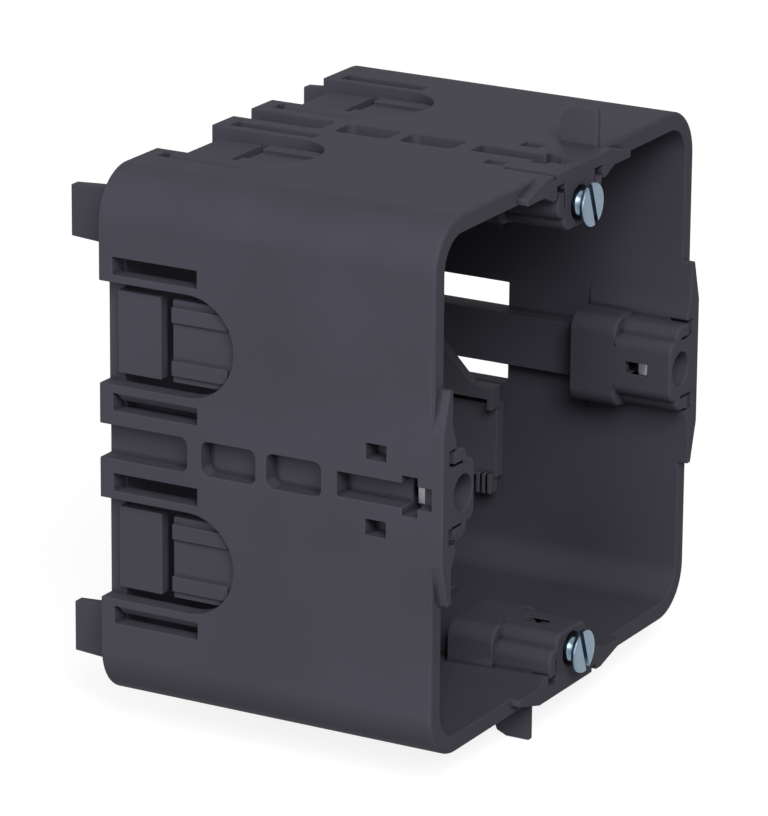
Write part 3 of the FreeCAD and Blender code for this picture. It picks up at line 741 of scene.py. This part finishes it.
@dataclass
class CableClamp:
    """The moulded clamp that is hooked into the right wall."""

    edge_round: float = 0.0001
    finish: MouldedPlastic = MouldedPlastic(
        "dark_clamp_plastic", (0.082, 0.079, 0.096), roughness=0.58, drift=90.0)

    def build(self) -> bpy.types.Object:
        """Make the clamp and let it stand for its CAD node.

        Returns:
            The finished piece.
        """
        piece = welded_copy("cable_clamp", "cable_clamp_moulded")
        soften(piece, self.edge_round)
        coat(piece, self.finish)
        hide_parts("cable_clamp")
        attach(piece, "box")
        return piece


@dataclass
class NutPlate:
    """One stamped nut plate, with the slight roll-over of a punched edge.

    The right one is painted much brighter than the others: a painted reflection of the bright
    opening that it faces.
    """

    place: NutPlace
    edge_round: float = 0.00012
    zinc: Colour = (0.27, 0.265, 0.285)
    # Painted reflection: the right plate's zinc is made this many times lighter
    right_reflection_gain: float = 3.0
    roughness: float = 0.42
    ring_pitch: float = 0.00006

    def build(self) -> bpy.types.Object:
        """Make the plate and let it stand for its CAD node.

        Returns:
            The finished piece.
        """
        node = "nut_" + self.place.name.lower()
        piece = welded_copy(node, node + "_plate")
        soften(piece, self.edge_round)
        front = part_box(node)[0].y
        turn = math.radians(self.place.value)
        axis = (-SCREW_AXIS * math.cos(turn), front, SCREW_AXIS * math.sin(turn))
        # Painted reflection: only the right plate gets the lighter zinc
        gain = self.right_reflection_gain if self.place is NutPlace.RIGHT else 1.0
        zinc = tuple(part * gain for part in self.zinc)
        coat(piece, ZincPlate(node + "_zinc", zinc, self.roughness, centre=axis,
                              ring_pitch=self.ring_pitch))
        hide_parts(node)
        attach(piece, "box")
        return piece


@dataclass
class DeviceScrew:
    """One slotted countersunk device screw with a rolled thread.

    Behind the head its neck flares into a small collar, then the shank begins. Its
    starts, ends and the head's face are y in the shared frame.
    """

    place: ScrewPlace
    head_face: float = -0.00195
    head_radius: float = 0.00285
    head_rim: float = 0.00055
    head_cone: float = 0.0006
    head_round: float = 0.00012
    face_rings: Tuple[float, float] = (0.45, 0.8)
    neck_radius: float = 0.0012
    collar_radius: float = 0.0016
    collar_start: float = -0.0001
    collar_end: float = 0.0006
    collar_slope: float = 0.0003
    shank_radius: float = 0.0012
    length: float = 0.014
    tip_slope: float = 0.0004
    crest_radius: float = 0.00144
    thread_start: float = 0.0009
    thread_pitch: float = 0.0005
    ridge_share: float = 0.42
    slot_width: float = 0.0009
    slot_depth: float = 0.0007
    slot_lean: float = 20.0
    sides: int = 64
    sharp_degrees: float = 28.0
    zinc: Colour = (0.2, 0.275, 0.35)
    roughness: float = 0.3

    def node(self) -> str:
        """Name of the CAD node that this screw stands for."""
        return "screw_" + self.place.name.lower()

    def profile(self) -> List[Tuple[float, float]]:
        """Half outline of the screw, from the head's face to the tip.

        Returns:
            The outline's points as (radius, y).
        """
        face = self.head_face
        rim = face + self.head_rim
        neck = rim + self.head_cone
        tip = face + self.length
        soft = self.head_round
        front_cut = soft * 0.3
        rear_cut = soft * 0.35
        rings_on_face = [(self.head_radius * share, face) for share in self.face_rings]
        return [
            (0.0, face), *rings_on_face, (self.head_radius - soft, face),
            (self.head_radius - front_cut, face + front_cut),
            (self.head_radius, face + soft), (self.head_radius, rim - soft),
            (self.head_radius - rear_cut, rim),
            (self.neck_radius + soft, neck - soft), (self.neck_radius, neck),
            (self.collar_radius, self.collar_start), (self.collar_radius, self.collar_end),
            (self.shank_radius, self.collar_end + self.collar_slope),
            (self.shank_radius, tip - self.tip_slope),
            (self.shank_radius - self.tip_slope, tip), (0.0, tip)]

    def turned(self) -> bpy.types.Object:
        """Turn the outline about the screw's axis.

        Returns:
            The screw's body with no slot yet.
        """
        sheet = bmesh.new()
        rings = []
        for radius, y in self.profile():
            ring = []
            for step in range(self.sides if radius > 0.0 else 1):
                turn = 2 * math.pi * step / self.sides
                ring.append(sheet.verts.new(
                    (radius * math.cos(turn), y, radius * math.sin(turn))))
            rings.append(ring)
        for first, second in zip(rings, rings[1:]):
            for step in range(self.sides):
                after = (step + 1) % self.sides
                corners = []
                for corner in (first[step % len(first)], first[after % len(first)],
                               second[after % len(second)], second[step % len(second)]):
                    if corner not in corners:
                        corners.append(corner)
                sheet.faces.new(corners)
        bmesh.ops.recalc_face_normals(sheet, faces=sheet.faces)
        mesh = bpy.data.meshes.new(self.node() + "_turned")
        sheet.to_mesh(mesh)
        sheet.free()
        return new_piece(self.node() + "_turned", mesh)

    def slot_cutter(self) -> bpy.types.Object:
        """Make the milling cutter's box, leaning as the slot does.

        Returns:
            The cutter, centred on the head's face.
        """
        sheet = bmesh.new()
        bmesh.ops.create_cube(sheet, size=1.0)
        mesh = bpy.data.meshes.new("slot_cutter")
        sheet.to_mesh(mesh)
        sheet.free()
        reach = 2.4 * self.head_radius
        size = Matrix.Diagonal((self.slot_width, 2 * self.slot_depth, reach, 1.0))
        lean = Matrix.Rotation(math.radians(-self.slot_lean), 4, "Y")
        mesh.transform(Matrix.Translation((0.0, self.head_face, 0.0)) @ lean @ size)
        return new_piece("slot_cutter", mesh)

    def slotted(self) -> bpy.types.Object:
        """Turn the body and mill the slot into its head.

        Returns:
            The screw's body with no thread yet.
        """
        body = self.turned()
        cutter = self.slot_cutter()
        cut = body.modifiers.new("mill_slot", "BOOLEAN")
        cut.operation = "DIFFERENCE"
        cut.solver = "EXACT"
        cut.object = cutter
        applied(body)
        bpy.data.objects.remove(cutter, do_unlink=True)
        return body

    def thread(self, material: bpy.types.Material) -> bpy.types.Object:
        """Wind the thread with Geometry Nodes and turn it into a plain mesh.

        Args:
            material: the screw's own material.

        Returns:
            The thread alone.
        """
        end = self.head_face + self.length - self.tip_slope
        length = end - self.thread_start
        ridge = self.thread_pitch * self.ridge_share
        tree = thread_tree()
        carrier = new_piece(self.node() + "_thread", bpy.data.meshes.new("thread_carrier"))
        winding = carrier.modifiers.new("wind_thread", "NODES")
        winding.node_group = tree
        sizes = {"Turns": length / self.thread_pitch, "Length": length,
                 "Start": self.thread_start, "Radius": self.crest_radius - ridge,
                 "Ridge": ridge, "Metal": material}
        for item in tree.interface.items_tree:
            if item.item_type == "SOCKET" and item.in_out == "INPUT" and item.name in sizes:
                winding[item.identifier] = sizes[item.name]
        applied(carrier)
        return carrier

    def build(self) -> bpy.types.Object:
        """Make the whole screw and let it stand for its CAD node.

        Returns:
            The finished piece.
        """
        height = self.place.value * SCREW_AXIS
        finish = ZincPlate(self.node() + "_zinc", self.zinc, self.roughness,
                           centre=(0.0, 0.0, height))
        body = self.slotted()
        thread = self.thread(finish.material())
        sheet = bmesh.new()
        sheet.from_mesh(body.data)
        sheet.from_mesh(thread.data)
        mesh = bpy.data.meshes.new(self.node() + "_plated")
        sheet.to_mesh(mesh)
        sheet.free()
        for spare in (body, thread):
            bpy.data.objects.remove(spare, do_unlink=True)
        for face in mesh.polygons:
            face.material_index = 0
            face.use_smooth = True
        mesh.transform(Matrix.Translation((0.0, 0.0, height)))
        mesh.set_sharp_from_angle(angle=math.radians(self.sharp_degrees))
        piece = new_piece(self.node() + "_plated", mesh)
        coat(piece, finish)
        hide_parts(self.node())
        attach(piece, self.node())
        return piece


def thread_tree() -> bpy.types.NodeTree:
    """Geometry Nodes tree that winds a V-shaped ridge along Y.

    Returns:
        The tree, with inputs Turns, Length, Start, Radius, Ridge and Metal.
    """
    name = "screw_thread"
    if name in bpy.data.node_groups:
        return bpy.data.node_groups[name]
    tree = bpy.data.node_groups.new(name, "GeometryNodeTree")
    tree.interface.new_socket("Geometry", in_out="INPUT", socket_type="NodeSocketGeometry")
    for label, default in (("Turns", 20.0), ("Length", 0.01), ("Start", 0.0),
                           ("Radius", 0.0012), ("Ridge", 0.0002)):
        socket = tree.interface.new_socket(label, in_out="INPUT", socket_type="NodeSocketFloat")
        socket.default_value = default
    tree.interface.new_socket("Metal", in_out="INPUT", socket_type="NodeSocketMaterial")
    tree.interface.new_socket("Geometry", in_out="OUTPUT", socket_type="NodeSocketGeometry")
    writer = NodeWriter(tree)
    entry = writer.add("NodeGroupInput")
    spiral = writer.add("GeometryNodeCurveSpiral", {
        "Resolution": 28, "Rotations": entry.outputs["Turns"],
        "Start Radius": entry.outputs["Radius"], "End Radius": entry.outputs["Radius"],
        "Height": entry.outputs["Length"]})
    upright = writer.add("GeometryNodeSetCurveNormal", {"Curve": spiral.outputs["Curve"]},
                         mode="Z_UP")
    ridge = writer.add("GeometryNodeCurvePrimitiveCircle", {
        "Resolution": 3, "Radius": entry.outputs["Ridge"]})
    sweep = writer.add("GeometryNodeCurveToMesh", {
        "Curve": upright.outputs["Curve"], "Profile Curve": ridge.outputs["Curve"],
        "Fill Caps": True})
    place = writer.add("ShaderNodeCombineXYZ", {"Y": entry.outputs["Start"]})
    laid = writer.add("GeometryNodeTransform", {
        "Geometry": sweep.outputs["Mesh"], "Translation": place.outputs[0],
        "Rotation": (math.radians(-90), 0.0, 0.0)})
    solid = writer.add("GeometryNodeRealizeInstances", {"Geometry": laid.outputs["Geometry"]})
    coated = writer.add("GeometryNodeSetMaterial", {
        "Geometry": solid.outputs["Geometry"], "Material": entry.outputs["Metal"]})
    leave = writer.add("NodeGroupOutput")
    writer.link(coated.outputs["Geometry"], leave.inputs["Geometry"])
    return tree


# Studio


@dataclass
class SoftLamp:
    """One large soft lamp, aimed at the box."""

    name: str
    place: Triple
    size: float
    power: float
    tint: Colour = (1.0, 1.0, 1.0)

    def build(self, target: Vector) -> None:
        """Hang the lamp and turn it towards the target.

        Args:
            target: the point that the lamp is aimed at.
        """
        light = bpy.data.lights.new(self.name, "AREA")
        light.shape = "SQUARE"
        light.size = self.size
        light.energy = self.power
        light.color = self.tint
        lamp = bpy.data.objects.new(self.name, light)
        bpy.context.scene.collection.objects.link(lamp)
        lamp.location = self.place
        aim = target - Vector(self.place)
        lamp.rotation_euler = aim.to_track_quat("-Z", "Y").to_euler()


@dataclass
class Studio:
    """Pale floor, even soft light and the camera of the photograph."""

    floor_height: float = -0.0404
    floor_half: float = 6.0
    floor_paint: FloorPaint = FloorPaint("pale_floor")
    camera_place: Triple = (-0.60056, -0.30977, 0.21654)
    camera_aim: Triple = (0.83076563, 0.46751915, -0.30208329)
    camera_roll: float = 0.470
    focal_pixels: float = 5536.0
    frame_height: int = 816
    ambient: float = 0.17
    lamp_target: Triple = (0.0, 0.02, 0.0)
    lamps: List[SoftLamp] = field(default_factory=lambda: [
        SoftLamp("key_lamp", (-0.85, -0.70, 0.83), 0.7, 15.4, (0.99, 0.98, 1.0)),
        SoftLamp("side_lamp", (-1.30, 0.10, 0.30), 0.8, 7.0, (0.99, 0.98, 1.0)),
    ])

    def camera(self) -> None:
        """Set up the camera at the photograph's angle."""
        data = bpy.data.cameras.new("photo_camera")
        data.sensor_fit = "VERTICAL"
        data.sensor_height = 36.0
        data.lens = self.focal_pixels / self.frame_height * data.sensor_height
        data.clip_start = 0.01
        camera = bpy.data.objects.new("photo_camera", data)
        bpy.context.scene.collection.objects.link(camera)
        look = Vector(self.camera_aim).to_track_quat("-Z", "Y").to_matrix().to_4x4()
        roll = Matrix.Rotation(math.radians(self.camera_roll), 4, "Z")
        camera.matrix_world = Matrix.Translation(self.camera_place) @ look @ roll
        bpy.context.scene.camera = camera

    def world(self) -> None:
        """Even white surroundings, seen as plain white."""
        world = bpy.data.worlds.new("studio_world")
        world.use_nodes = True
        bpy.context.scene.world = world
        world.node_tree.nodes.clear()
        writer = NodeWriter(world.node_tree)
        strength = writer.add("ShaderNodeMapRange", {
            "Value": background_rays(writer), "To Min": self.ambient, "To Max": 1.0})
        glow = writer.add("ShaderNodeBackground", {
            "Color": (1.0, 1.0, 1.0, 1.0), "Strength": strength.outputs["Result"]})
        leave = writer.add("ShaderNodeOutputWorld")
        writer.link(glow.outputs["Background"], leave.inputs["Surface"])

    def floor(self) -> None:
        """Plain pale floor just below the box."""
        half = self.floor_half
        mesh = bpy.data.meshes.new("floor")
        corners = [(-half, -half), (half, -half), (half, half), (-half, half)]
        mesh.from_pydata([(x, y, self.floor_height) for x, y in corners], [], [(0, 1, 2, 3)])
        floor = new_piece("floor", mesh)
        coat(floor, self.floor_paint)

    def build(self) -> None:
        """Set the whole studio up."""
        scene = bpy.context.scene
        scene.view_settings.view_transform = "Standard"
        self.world()
        self.floor()
        for lamp in self.lamps:
            lamp.build(Vector(self.lamp_target))
        self.camera()


def report(piece: bpy.types.Object) -> None:
    """Log a finished piece with its number of faces."""
    log.info("%s: %d faces", piece.name, len(piece.data.polygons))


def main() -> None:
    """Build every piece of the box, then the studio."""
    logging.basicConfig(level=logging.INFO, format="%(name)s: %(message)s")
    report(Housing().build())
    report(CableClamp().build())
    for nut in NutPlace:
        report(NutPlate(nut).build())
    for screw in ScrewPlace:
        report(DeviceScrew(screw).build())
    Studio().build()


if __name__ == "__main__":
    main()
